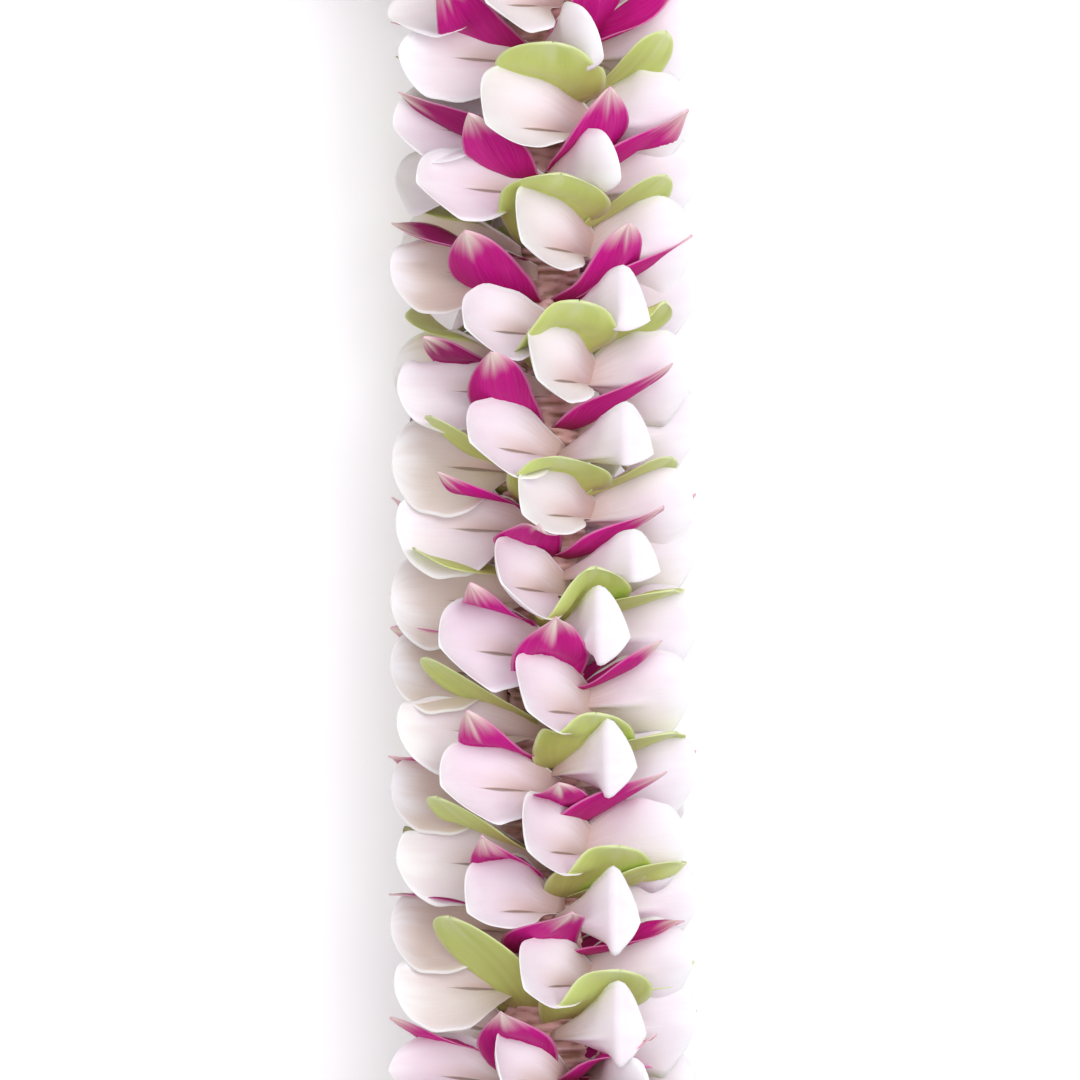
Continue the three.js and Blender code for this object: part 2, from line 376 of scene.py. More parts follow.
class Overhead(NamedTuple):
    """A tier as the tier under it meets it: its nest, and where it is along the thread in millimetres."""

    nest: Nest
    station: float

    def limit(self, points: np.ndarray, station: float) -> np.ndarray:
        """Gives how far along the points of the tier under it may reach.

        Args:
            points: points of that tier.
            station: where that tier is along the thread.

        Returns:
            The limit at each point.
        """
        above = self.station - station
        return self.nest.sample(points[..., 0], points[..., 2]) + above - self.nest.CLEARANCE

    def bend(self, blade: Blade, station: float) -> None:
        """Bends a cup's petal under the nest."""
        over = blade.points[..., 1] - self.limit(blade.points, station)
        blade.points[..., 1] -= self.nest.cleared(over)

    def trim(self, blade: Blade, station: float, least: float) -> None:
        """Makes a folded petal's upper side as narrow as the nest asks.

        Args:
            blade: the petal.
            station: where its tier is along the thread.
            least: the least share of its width that it keeps.
        """
        fold = blade.points.shape[1] // 2
        crease = blade.points[:, fold, 1][:, None]
        upper = blade.points[:, fold + 1 :]
        height = upper[..., 1] - crease
        room = self.limit(upper, station) - crease
        share = np.where(height > 1.0, room / np.maximum(height, 1.0), 1.0).min(axis=1)
        share = np.clip(share, least, 1.0)
        share = np.minimum(share, np.minimum(np.roll(share, 1), np.roll(share, -1)) + 0.12)
        weights = np.array([1, 2, 3, 2, 1]) / 9.0
        share = np.convolve(np.pad(share, 2, mode="edge"), weights, mode="valid")
        upper[..., 1] = crease + height * share[:, None]


class Wobble(NamedTuple):
    """A white petal's small differences: angles in degrees, two phases, and the lift in millimetres."""

    tip: float
    base: float
    curl: float
    upper: float
    lower: float
    phase: float
    lift: float
    edge: float


MOST_WOBBLE = Wobble(tip=2.0, base=4.0, curl=6.0, upper=4.0, lower=6.0, phase=1.0, lift=1.2, edge=1.0)


@dataclass(frozen=True)
class FoldedPetal:
    """A white petal that stands on the thread like a fin, with a valley fold along its midrib.

    The names in capitals are shared by all of them. A pair of numbers is the stretch along the petal in
    which something changes, or the height and the rate of a wave of its edge.
    """

    tip_azimuth: float
    base_azimuth: float
    drop: float
    lift: float = 2.0
    size: float = 1.0
    base_radius: float = 9.0
    tip_radius: float = 35.5
    upper: float = 11.5
    lower: float = 12.5
    upper_lean: float = 8.0
    lower_dip: float = 22.0
    curl: float = 30.0
    curl_from: float = 0.55
    curl_to: float = 1.0
    # how much painted shade the petal's colour takes
    painted_shade: float = 0.0
    outline: Outline = ROUND_WHITE
    least: float = 0.88
    by_hand: bool = True

    SECTION_POINTS = 81
    LONG_WAVE = (0.035, 9.0)
    SHORT_WAVE = (0.02, 25.0)
    FLATTENS = (0.45, 1.0)
    FLATTER = 0.32
    FOLD_SHARPEST = 0.06
    FOLD_WIDENS = 0.85
    FOLD_OPENS = (0.30, 0.80)
    LOWER_ROOT = 0.08
    LOWER_OPENS = (0.10, 0.48)
    RIPPLE = 0.16
    RIPPLES = (0.2, 0.6)
    CREASE_DEPTH = 0.9
    CREASE_WIDTH = 0.08
    CREASE_STARTS = (0.05, 0.25)
    CREASE_ENDS = (0.5, 0.72)
    CURLS_FLAT_FROM = 50.0
    CURLS_FLAT_OVER = 40.0
    CURLED_FLATNESS = 0.92

    def midrib(self, u: np.ndarray, wobble: Wobble) -> Arrays:
        """Follows the midrib over the strand's cross-section.

        Args:
            u: places along the petal.
            wobble: the petal's small differences.

        Returns:
            The midrib's points, and the way out of the petal's face at each.
        """
        tip_turn = math.radians(self.tip_azimuth + wobble.tip)
        base_turn = math.radians(self.base_azimuth + wobble.base)
        base = self.base_radius * np.array([math.sin(base_turn), math.cos(base_turn)])
        tip = self.tip_radius * np.array([math.sin(tip_turn), math.cos(tip_turn)])
        length = float(np.linalg.norm(tip - base))
        ahead = (tip - base) / length
        aside = np.array([ahead[1], -ahead[0]])
        turned = math.radians(self.curl + wobble.curl) * eased(u, self.curl_from, self.curl_to)
        straight, bent = np.cos(turned)[:, None], np.sin(turned)[:, None]
        run = straight * ahead + bent * aside
        middle = np.cumsum(run * np.diff(u, prepend=0.0)[:, None], axis=0)
        middle *= length / float(np.max(middle @ ahead))
        return middle + base, straight * aside - bent * ahead

    def section(self, u: np.ndarray, v: np.ndarray, wobble: Wobble) -> Arrays:
        """Draws the folded section at each place along the petal.

        Args:
            u: places along the petal.
            v: places across it.
            wobble: the petal's small differences.

        Returns:
            How far the points are along the thread from the fold, and out of the petal's face.
        """
        waves = 0.0
        for (height, rate), phase in ((self.LONG_WAVE, wobble.phase), (self.SHORT_WAVE, wobble.edge)):
            waves = waves + height * np.sin(rate * u + 3.0 * phase)
        shape = self.outline.at(u) * (1.0 + waves)
        high = math.radians(self.upper_lean + wobble.upper)
        low = math.radians(self.lower_dip - 90.0 + wobble.lower)
        half_turn = 0.5 * (high - low) * (1.0 - self.FLATTER * eased(u, *self.FLATTENS))[:, None]
        sharp = (self.FOLD_SHARPEST + self.FOLD_WIDENS * eased(u, *self.FOLD_OPENS))[:, None]
        fine = np.linspace(-1.0, 1.0, self.SECTION_POINTS)
        angle = 0.5 * (high + low) + half_turn * np.tanh(fine / sharp) / np.tanh(1.0 / sharp)
        opened = self.LOWER_ROOT + (1.0 - self.LOWER_ROOT) * eased(u, *self.LOWER_OPENS)
        reach = np.where(fine > 0.0, self.upper, (self.lower * opened)[:, None]) * self.size
        ripple = self.RIPPLE * np.sin(TURN * (1.1 * u[:, None] + 0.5 * wobble.phase) + 2.0 * fine)
        angle = angle + ripple * np.abs(fine) ** 3 * eased(u, *self.RIPPLES)[:, None]
        step = fine[1] - fine[0]
        middle = len(fine) // 2
        along = np.cumsum(np.cos(angle) * reach * shape[:, None], axis=1) * step
        out = np.cumsum(np.sin(angle) * reach * shape[:, None], axis=1) * step
        along -= along[:, middle : middle + 1]
        out -= out[:, middle : middle + 1]
        creased = eased(u, *self.CREASE_STARTS) * fading(u, *self.CREASE_ENDS)
        out -= self.CREASE_DEPTH * np.exp(-((fine / self.CREASE_WIDTH) ** 2)) * creased[:, None]
        return tuple(np.stack([np.interp(v, fine, row) for row in part]) for part in (along, out))

    def sheet(self, rng: np.random.Generator) -> Blade:
        """Makes the petal's sheet.

        Args:
            rng: the draw of small differences.

        Returns:
            The sheet in the strand's frame.
        """
        wobble = Wobble(*(rng.uniform(-1.0, 1.0, len(MOST_WOBBLE)) * MOST_WOBBLE))
        u, v = petal_grid(self.by_hand)
        middle, facing = self.midrib(u, wobble)
        along, out = self.section(u, v, wobble)
        rise = -self.drop + (self.lift + wobble.lift) * u
        folded = min(max((self.curl - self.CURLS_FLAT_FROM) / self.CURLS_FLAT_OVER, 0.0), 1.0)
        flat = eased(u, self.curl_from - 0.25, self.curl_from + 0.02)
        out *= (1.0 - self.CURLED_FLATNESS * folded * flat)[:, None]
        place = middle[:, None, :] + out[..., None] * facing[:, None, :]
        points = np.stack([place[..., 0], along + rise[:, None], place[..., 1]], axis=-1)
        return Blade(points, u, v, float(rng.random()), self.painted_shade)


@dataclass(frozen=True)
class CupPetal:
    """A coloured petal, one of those that stand round the thread as a shallow cup."""

    azimuth: float
    rise: float
    half_width: float
    outline: Outline
    tip_radius: float = 36.0
    root_radius: float = 7.0
    steepens: float = 0.9
    cup: float = 1.2
    groove: float = 0.5
    groove_width: float = 0.22
    bend: float = 3.0
    body_azimuth: float | None = None
    overlap: float = 1.3
    start: float = 0.0
    # how much painted shade the petal's colour takes
    painted_shade: float = 0.0
    by_hand: bool = True

    LONGER = 0.015
    WIDER = 0.06
    TURNS = (0.35, 1.05)
    OVERLAPS = (0.0, 0.4)
    RIPPLE = 0.5
    DRAWN_IN = 0.30

    def sheet(self, rng: np.random.Generator) -> Blade:
        """Makes the petal's sheet.

        Args:
            rng: the draw of small differences.

        Returns:
            The sheet in the strand's frame.
        """
        longer, wider, bent, phase, *_ = rng.uniform(-1.0, 1.0, 6)
        u, v = petal_grid(self.by_hand)
        tip_radius = self.tip_radius * (1.0 + self.LONGER * longer)
        radius = self.root_radius + (tip_radius - self.root_radius) * u
        half = self.half_width * (1.0 + self.WIDER * wider) * self.outline.at(u)
        share = (half / self.half_width)[:, None]
        body = math.radians(self.azimuth if self.body_azimuth is None else self.body_azimuth)
        turn = body + (math.radians(self.azimuth) - body) * eased(u, *self.TURNS)
        turn = turn - math.radians(self.bend * bent) * np.sin(math.pi * u)
        angle = turn[:, None] + half[:, None] * v[None, :] / radius[:, None]
        along = self.start + self.rise * u**self.steepens
        across = np.abs(v)
        grooved = np.exp(-((v / self.groove_width) ** 2))
        lifted = self.cup * across**2 * share
        lifted = lifted + self.RIPPLE * np.sin(TURN * (u[:, None] * 1.3 + 0.5 * phase)) * across**3
        lifted = lifted - self.groove * grooved * np.sin(math.pi * np.clip(u * 1.05, 0.0, 1.0))[:, None]
        lifted = lifted + self.overlap * v * eased(u, *self.OVERLAPS)[:, None] * share
        points = round_thread(radius[:, None] - self.DRAWN_IN * lifted, angle, along[:, None] + lifted)
        return Blade(points, u, v, float(rng.random()), self.painted_shade)


class Pile:
    """Gathers closed blades into one mesh."""

    THINNER_EDGE = 0.72

    def __init__(self, thickness: float = 0.0) -> None:
        """Starts an empty pile.

        Args:
            thickness: the thickness of the petals that go on it, in millimetres.
        """
        self.thickness = thickness
        self.points: list[np.ndarray] = []
        self.faces: list[np.ndarray] = []
        self.place: list[np.ndarray] = []
        self.count = 0

    def add_blade(self, blade: Blade, station: float) -> None:
        """Thickens a petal's sheet, lays it along the thread and adds it.

        Args:
            blade: the petal's sheet.
            station: where it counts from along the thread, in millimetres.
        """
        sheet = blade.points
        rows, columns = sheet.shape[:2]
        size = rows * columns
        normal = np.cross(np.gradient(sheet, axis=0), np.gradient(sheet, axis=1))
        normal /= np.maximum(np.linalg.norm(normal, axis=-1, keepdims=True), 1e-9)
        thin = 1.0 - self.THINNER_EDGE * np.abs(blade.v) ** 3
        half = 0.5 * self.thickness * thin[None, :, None]
        sides = [PATH.laid(station, sheet + normal * way * half).reshape(-1, 3) for way in (1.0, -1.0)]
        index = np.arange(size).reshape(rows, columns)
        quads = np.stack([index[:-1, :-1], index[1:, :-1], index[1:, 1:], index[:-1, 1:]], axis=-1)
        quads = quads.reshape(-1, 4)
        rim = np.concatenate([index[0, :-1], index[:-1, -1], index[-1, :0:-1], index[:0:-1, 0]])
        following = np.roll(rim, -1)
        edge = np.stack([rim, following, following + size, rim + size], axis=-1)
        faces = np.concatenate([quads, quads[:, ::-1] + size, edge])
        place = np.zeros((size, PLACE_COLUMNS))
        place[:, 0], place[:, 1] = np.repeat(blade.u, columns), np.tile(blade.v, rows)
        # the fourth column carries how much painted shade the petal takes
        place[:, 2], place[:, 3] = blade.chance, blade.painted_shade
        other = place + np.array([0.0, 0.0, 0.0, 0.0, 1.0])
        self.add(np.concatenate(sides), faces, np.concatenate([place, other]))

    def add(self, points: np.ndarray, faces: np.ndarray, place: np.ndarray | None = None) -> None:
        """Adds a piece of mesh.

        Args:
            points: its points in metres.
            faces: its four-sided faces.
            place: for each point u, v, the petal's chance, its painted shade and the side that the point is
                on.
        """
        self.points.append(points)
        self.faces.append(faces + self.count)
        self.place.append(np.zeros((len(points), PLACE_COLUMNS)) if place is None else place)
        self.count += len(points)

    def build(self, name: str, colour: Colour, material: bpy.types.Material) -> bpy.types.Object:
        """Makes the object.

        Args:
            name: the piece's name.
            colour: the kind of surface the piece is; not used.
            material: its finish.

        Returns:
            The object, riding on the body.
        """
        points, faces, place = (np.concatenate(part) for part in (self.points, self.faces, self.place))
        mesh = bpy.data.meshes.new(name)
        mesh.vertices.add(len(points))
        mesh.vertices.foreach_set("co", points.astype(np.float32).ravel())
        mesh.loops.add(faces.size)
        mesh.loops.foreach_set("vertex_index", faces.astype(np.int32).ravel())
        mesh.polygons.add(len(faces))
        mesh.polygons.foreach_set("loop_start", np.arange(0, faces.size, 4, dtype=np.int32))
        mesh.update(calc_edges=True)
        mesh.validate()
        mesh.polygons.foreach_set("use_smooth", np.ones(len(mesh.polygons), dtype=bool))
        spot = mesh.attributes.new("petal_place", "FLOAT_VECTOR", "POINT")
        spot.data.foreach_set("vector", place[:, :3].astype(np.float32).ravel())
        # the second attribute carries how much painted shade the finish gives each petal
        for column, kind in ((3, "petal_painted_shade"), (4, "petal_side")):
            value = mesh.attributes.new(kind, "FLOAT", "POINT")
            value.data.foreach_set("value", place[:, column].astype(np.float32))
        mesh.materials.append(material)
        piece = bpy.data.objects.new(name, mesh)
        bpy.context.scene.collection.objects.link(piece)
        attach(piece, "root")
        log.info("%s: %d faces", name, len(mesh.polygons))
        return piece


class Lay(Enum):
    """How a white petal lies, by where it stands round the strand."""

    SIDE = "side"
    LEFT = "left"
    TALL = "tall"
    CENTRE = "centre"
    NEAR_RIGHT = "near_right"
    RIGHT = "right"
    KITE = "kite"
    FAR_RIGHT = "far_right"


class WhiteShape(NamedTuple):
    """A way to lie: the root's azimuth, as an angle and a share of the tip's, and the petal's sizes."""

    base: float
    follows: float
    sizes: dict[str, float | Outline]


RIDGED = {
    "tip_radius": 34.0,
    "upper": 16.5,
    "lower": 4.0,
    "lower_dip": 34.0,
    "curl": 96.0,
    "curl_from": 0.73,
    "curl_to": 0.84,
    "outline": FANNED_WHITE,
}
WHITE_SHAPES = {
    Lay.SIDE: WhiteShape(
        78.0, 1.0, {"upper": 11.0, "lower": 12.0, "lower_dip": 48.0, "curl": 18.0, "least": 0.7}
    ),
    Lay.LEFT: WhiteShape(42.0, 0.35, {"lift": 3.0, "outline": POINTED_WHITE}),
    Lay.TALL: WhiteShape(
        42.0, 0.35, {"upper": 15.0, "lower": 6.0, "curl": 14.0, "outline": POINTED_WHITE}
    ),
    Lay.CENTRE: WhiteShape(
        66.0, 0.0, {"base_radius": 13.0, "upper": 15.0, "lower": 9.0, "lower_dip": 18.0, "curl": 14.0}
    ),
    Lay.NEAR_RIGHT: WhiteShape(-26.0, 1.0, {"upper": 13.0, "lower": 4.0, "lower_dip": 45.0, "curl": 38.0}),
    Lay.RIGHT: WhiteShape(-20.0, 1.0, RIDGED),
    Lay.KITE: WhiteShape(-20.0, 1.0, RIDGED | {"lower": 11.0}),
    Lay.FAR_RIGHT: WhiteShape(-22.0, 1.0, {"upper": 12.5, "lower": 12.0, "lower_dip": 45.0, "curl": 45.0}),
}
RANDOM_LAYS = (Lay.LEFT, Lay.CENTRE, Lay.FAR_RIGHT, Lay.RIGHT, Lay.LEFT)
# White side petals that lie far round the strand get painted shade, more the further round they lie.
SIDE_PAINTED_SHADE, PAINTED_SHADE_FROM, PAINTED_SHADE_OVER = 0.7, 72.0, 16.0


def white_petal(tip: float, lay: Lay, drop: float, size: float) -> FoldedPetal:
    """Makes a white petal that lies in one of the named ways.

    Args:
        tip: its tip's azimuth in degrees.
        lay: how it lies.
        drop: how far its fold is under the tier's notches, in millimetres.
        size: its size against the usual one.

    Returns:
        The petal.
    """
    shape = WHITE_SHAPES[lay]
    petal = FoldedPetal(tip, shape.base + shape.follows * tip, drop, size=size, **shape.sizes)
    if lay is not Lay.SIDE:
        return petal
    # painted shade for a side petal, growing with how far round it lies
    painted_shade = SIDE_PAINTED_SHADE * min(max((abs(tip) - PAINTED_SHADE_FROM) / PAINTED_SHADE_OVER, 0.0), 1.0)
    return replace(petal, painted_shade=painted_shade)


class Cup(NamedTuple):
    """A coloured petal's place.

    It holds its tip's azimuth, its rise, its body's azimuth, its half-width, how far along the thread it
    starts, whether the tier beyond presses it down, and how much higher one long side is than the other.
    """

    tip: float
    rise: float
    body: float | None = None
    half_width: float | None = None
    start: float = 0.0
    pressed: bool = True
    overlap: float | None = None
    by_hand: bool = True


CUP_SHAPES = {
    Colour.GREEN: {"outline": ROUND_GREEN, "tip_radius": 34.5, "steepens": 1.2, "cup": -1.0, "groove": 0.0},
    Colour.MAGENTA: {"outline": POINTED_MAGENTA, "root_radius": 8.5, "steepens": 1.4},
}


@dataclass(frozen=True)
class SeenTier:
    """A tier of the side whose petals are listed one by one, from left to right.

    It holds how far the tier is shifted along the thread, its coloured petals as Cup has them, and its
    white petals as white_petal takes them.
    """

    shift: float
    coloured: tuple[tuple[float, ...], ...]
    whites: tuple[tuple[float, Lay, float, float], ...]


# The tiers whose petals are listed one by one, by the number of their cluster and from one end of the
# straight side to the other. The letters are short for the ways to lie.
S, L, T, C, N = Lay.SIDE, Lay.LEFT, Lay.TALL, Lay.CENTRE, Lay.NEAR_RIGHT
R, K, F = Lay.RIGHT, Lay.KITE, Lay.FAR_RIGHT
SEEN_MAGENTA = {
    5: SeenTier(
        -3.0,
        ((-38, 20), (22, 17), (70, 8)),
        ((-75, S, 3.0, 1.0), (15, N, 4.0, 0.95), (74, F, 2, 1)),
    ),
    4: SeenTier(
        -3.2,
        ((-72, 14, -62, 8, 7, False), (-29, 15, -34, 7.2), (24, 21), (67, 17, 56, 8)),
        ((-62, L, 3.5, 1.0), (22, N, 1.5, 0.92), (78, F, 3, 1)),
    ),
    3: SeenTier(
        -1.2,
        ((-84, 12, -60, 10, 7.0, False, -3.5), (-31, 16, -42, 9.6), (32, 18), (72, 16, 56, 8, 0, False)),
        ((-88, S, -5.8, 1.0), (-38, L, 7.8, 0.95), (34, R, 5.2, 0.95), (76, F, 2, 1)),
    ),
    2: SeenTier(
        -0.2,
        ((-52, 12, -60, 8.5, 9, False), (-20, 17.4, -32, 8.8), (54, 15, 42, 9.5, 0, False)),
        ((-74, S, -8.1, 0.95), (-32, L, 7.0, 1.05), (34, R, 7.5, 0.95), (80, F, 3.0, 1.1)),
    ),
    1: SeenTier(
        0.0,
        ((-44, 14, -40, 4.5, 6, False), (-2, 10, -12, 8), (50, 12, 42, 9, 0, False)),
        ((-75, S, -5.5, 1.15), (-22, L, 8.8, 1.05), (38, R, 5.0, 0.8), (78, F, 2, 1)),
    ),
    33: SeenTier(
        -1.9,
        ((-29, 20, -34, 7, 6, False), (4, 18.6, 6, 9), (49, 13, 52, 7)),
        ((-88, S, -3.5, 1.0), (-50, L, -8.0, 1.1), (-8, C, 4.8, 1.0), (62, F, 3, 1)),
    ),
    32: SeenTier(
        -2.1,
        ((-30, 20, -32, 8, 7, False), (5, 10.5, 8, 7, 0, False), (50, 12.5, 42, 10.5, 0.5, False)),
        ((-88, S, -6.0, 1.0), (-48, L, -7.4, 1.1), (-10, C, 7.4, 0.95), (60, F, 6, 1)),
    ),
    31: SeenTier(
        -2.3,
        (
            (-82, 6, -66, 9, 5.0, False, -4.2),
            (-24, 22, -26, 8, 7, False),
            (10, 11.5, -2, 10, 0, False),
            (63, 7, 50, 9, 0, False),
        ),
        ((-88, S, -5.0, 1.0), (-30, T, -10.0, 1.0), (-9, C, 7.0, 0.82), (64, F, 5, 1)),
    ),
}
SEEN_GREEN = {
    5: SeenTier(-2.0, ((-95, 18), (12, 16)), ((-25, L, 6.0, 0.9), (50, R, 3.0, 0.9))),
    4: SeenTier(
        -2.7,
        ((-95, 15), (3, 15.5), (54, 15.5, 62, 7.5, 2)),
        ((-27, C, 4.4, 1.0), (64, F, 3.0, 1.0)),
    ),
    3: SeenTier(
        -2.9,
        ((-118, 15), (6, 16), (54, 14, 62, 7.5, 2)),
        ((-115, S, 3.0, 1.0), (-12, C, 2.4, 1.0), (66, F, 3.0, 1.1)),
    ),
    2: SeenTier(
        -1.3,
        ((-118, 15), (13, 15), (54, 13.5, 62, 7.5, 2)),
        ((-110, S, 3.0, 1.0), (-5, C, 3.6, 1.0), (66, F, 4.0, 1.0)),
    ),
    1: SeenTier(
        -3.8,
        ((-50, 13.5, -48, 7.5, 8, False), (6, 12), (57, 11, 62, 8, 1)),
        ((-85, S, -8.0, 1.1), (-9, C, 2.1, 0.85), (68, F, 3.0, 1.0)),
    ),
    33: SeenTier(
        -1.3,
        ((-62, 12, -54, 6, 6.4, False), (20, 14.4, 22), (60, 9)),
        ((-85, S, -5.4, 1.1), (22, K, 3.4, 0.9), (74, F, 3, 1)),
    ),
    32: SeenTier(
        -5.0,
        ((-52, 19, -38, 10.5, 8, False), (20, 14.4, 23), (60, 10)),
        ((-75, S, -8.1, 1.0), (24, K, 0.4, 0.84), (76, F, 3, 1)),
    ),
    31: SeenTier(
        -4.1,
        ((-46, 18, -36, 10, 6, False), (30, 13, 34), (66, 9)),
        ((-75, S, -7.0, 1.0), (28, K, 6.0, 0.95), (76, F, 3, 1)),
    ),
    30: SeenTier(
        -2.5,
        ((-40, 22, -30, 11, 3, False), (30, 13, 34)),
        ((-80, S, -7.0, 1.0), (28, K, 4.0, 0.95), (76, F, 3, 1)),
    ),
}


def around(sides: int) -> np.ndarray:
    """Gives the angles of evenly spaced points round a ring."""
    return np.arange(sides) * TURN / sides


def ring_faces(rings: int, sides: int) -> np.ndarray:
    """Joins rings of points with four-sided faces, the last ring to the first as well.

    Args:
        rings: how many rings there are.
        sides: how many points a ring has.

    Returns:
        The faces, by ring.
    """
    index = np.arange(rings * sides).reshape(rings, sides)
    beyond = np.roll(index, -1, axis=0)
    return np.stack([index, np.roll(index, -1, axis=1), np.roll(beyond, -1, axis=1), beyond], axis=-1)


@dataclass
class PetalCluster:
    """One repeat of the strand: a magenta tier, a green tier, their white petals and the pleated bases."""

    number: int
    white_thickness: float = 0.5
    colour_thickness: float = 0.45
    magenta_half_width: float = 8.8
    green_half_width: float = 12.8
    overlap: float = 1.3
    magenta_lean: float = 1.35
    leans_within: float = 60.0
    # listed magentas beyond this azimuth lie in shade and get this much painted shade
    shaded_beyond: float = -50.0
    magenta_painted_shade: float = 0.65
    petals_round: int = 6
    petal_turn: float = 58.0
    sway_round: float = 6.0
    sway_between: float = 5.0
    shifts: tuple[float, float] = (-2.0, 1.0)
    magenta_half_widths: tuple[float, float] = (7.0, 9.0)
    green_half_widths: tuple[float, float] = (9.5, 12.0)
    rises: tuple[float, float] = (12.0, 18.0)
    drops: tuple[float, float] = (0.0, 5.0)
    white_sizes: tuple[float, float] = (0.95, 1.12)
    hidden_least: float = 0.62
    hidden_base: float = 64.0
    screened: float = 32.0
    pleats_radius: float = 8.8
    pleats_neck: float = 0.72
    pleats_neck_length: float = 2.0
    pleats_start: float = -7.2
    pleats_end: float = 22.3
    pleats_rings: int = 62
    pleats_sides: int = 40
    pleat_pitch: float = 2.9
    fine_pleat_pitch: float = 1.5
    pleat_depth: float = 0.62
    lump_height: float = 0.8
    bore: float = 1.3

    @property
    def node(self) -> str:
        """The CAD node that this repeat stands for."""
        return f"petal_cluster_{self.number:02d}"

    @property
    def start(self) -> float:
        """Where the repeat starts along the thread, in millimetres."""
        return (self.number - 1) * CLUSTER_PITCH

    def azimuths_left(self, taken: list[float], rng: np.random.Generator) -> list[float]:
        """Shares out the azimuths that no listed petal takes.

        Args:
            taken: azimuths of the listed petals.
            rng: the draw of small differences.

        Returns:
            The other petals' azimuths.
        """
        if not taken:
            apart = 360.0 / self.petals_round
            first = rng.uniform(0.0, apart)
            sway = self.sway_round
            return [first + apart * k + rng.uniform(-sway, sway) for k in range(self.petals_round)]
        start, end = max(taken), min(taken) + 360.0
        count = max(round((end - start) / self.petal_turn) - 1, 0)
        even = [start + (end - start) * (k + 1) / (count + 1) for k in range(count)]
        return [azimuth + rng.uniform(-self.sway_between, self.sway_between) for azimuth in even]

    def cups(self, magenta: bool, seen: SeenTier | None, rng: np.random.Generator) -> list[Cup]:
        """Chooses a tier's coloured petals, the listed ones first.

        Args:
            magenta: whether they are magenta; they are green otherwise.
            seen: the listed petals, if there are any.
            rng: the draw of small differences.

        Returns:
            The petals' places.
        """
        cups = [Cup(*row) for row in seen.coloured] if seen else []
        half_widths = self.magenta_half_widths if magenta else self.green_half_widths
        for azimuth in self.azimuths_left([cup.tip for cup in cups], rng):
            half_width = rng.uniform(*half_widths)
            cups.append(Cup(azimuth, rng.uniform(*self.rises), azimuth, half_width, by_hand=False))
        return cups

    def white_petals(self, seen: SeenTier | None, rng: np.random.Generator) -> list[FoldedPetal]:
        """Chooses a tier's white petals, the listed ones first.

        Args:
            seen: the listed petals, if there are any.
            rng: the draw of small differences.

        Returns:
            The petals.
        """
        petals = [white_petal(*row) for row in seen.whites] if seen else []
        for azimuth in self.azimuths_left([petal.tip_azimuth for petal in petals], rng):
            lay = RANDOM_LAYS[int(rng.integers(len(RANDOM_LAYS)))]
            petal = white_petal(azimuth, lay, rng.uniform(*self.drops), rng.uniform(*self.white_sizes))
            if lay in (Lay.LEFT, Lay.CENTRE):
                petal = replace(petal, base_azimuth=azimuth + self.hidden_base)
            petals.append(replace(petal, least=self.hidden_least, by_hand=False))
        return petals

    def coloured_petal(self, colour: Colour, cup: Cup) -> CupPetal:
        """Makes a coloured petal.

        Args:
            colour: magenta or green.
            cup: its place.

        Returns:
            The petal.
        """
        body, painted_shade = cup.body, 0.0
        half_width, overlap = self.green_half_width, -self.overlap
        if colour is Colour.MAGENTA:
            half_width, overlap = self.magenta_half_width, self.overlap
            if body is None:
                body = self.magenta_lean * cup.tip if abs(cup.tip) < self.leans_within else cup.tip
            # a listed magenta far round the side gets painted shade
            if cup.by_hand and cup.tip < self.shaded_beyond:
                painted_shade = self.magenta_painted_shade
        return CupPetal(
            cup.tip,
            cup.rise,
            cup.half_width or half_width,
            body_azimuth=body,
            overlap=overlap if cup.overlap is None else cup.overlap,
            start=cup.start,
            painted_shade=painted_shade,
            by_hand=cup.by_hand,
            **CUP_SHAPES[colour],
        )

    def tier(self, colour: Colour, whites: Pile, coloured: Pile, overhead: Overhead) -> Overhead:
        """Adds a tier's petals to the piles.

        Args:
            colour: magenta or green.
            whites: where the white petals go.
            coloured: where the coloured petals go.
            overhead: the tier beyond it.

        Returns:
            This tier, for the one under it.
        """
        magenta = colour is Colour.MAGENTA
        rng = np.random.default_rng(TIER_SEED * self.number + (0 if magenta else GREEN_SEED))
        seen = (SEEN_MAGENTA if magenta else SEEN_GREEN).get(self.number)
        shift = seen.shift if seen else rng.uniform(*self.shifts)
        station = self.start + (0.0 if magenta else GREEN_TIER_AT) + shift
        cups = self.cups(magenta, seen, rng)
        nest = Nest()
        screens = []
        for petal in self.white_petals(seen, rng):
            blade = petal.sheet(rng)
            overhead.trim(blade, station, petal.least)
            nest.cover(blade.points)
            screens.append((petal.tip_azimuth, Screen(blade)))
            whites.add_blade(blade, station)
        nest.settle()
        for cup in cups:
            blade = self.coloured_petal(colour, cup).sheet(rng)
            if cup.pressed:
                overhead.bend(blade, station)
            for azimuth, screen in screens:
                if abs((azimuth - cup.tip + 180.0) % 360.0 - 180.0) < self.screened:
                    screen.lift(blade)
            coloured.add_blade(blade, station)
        return Overhead(nest, station)

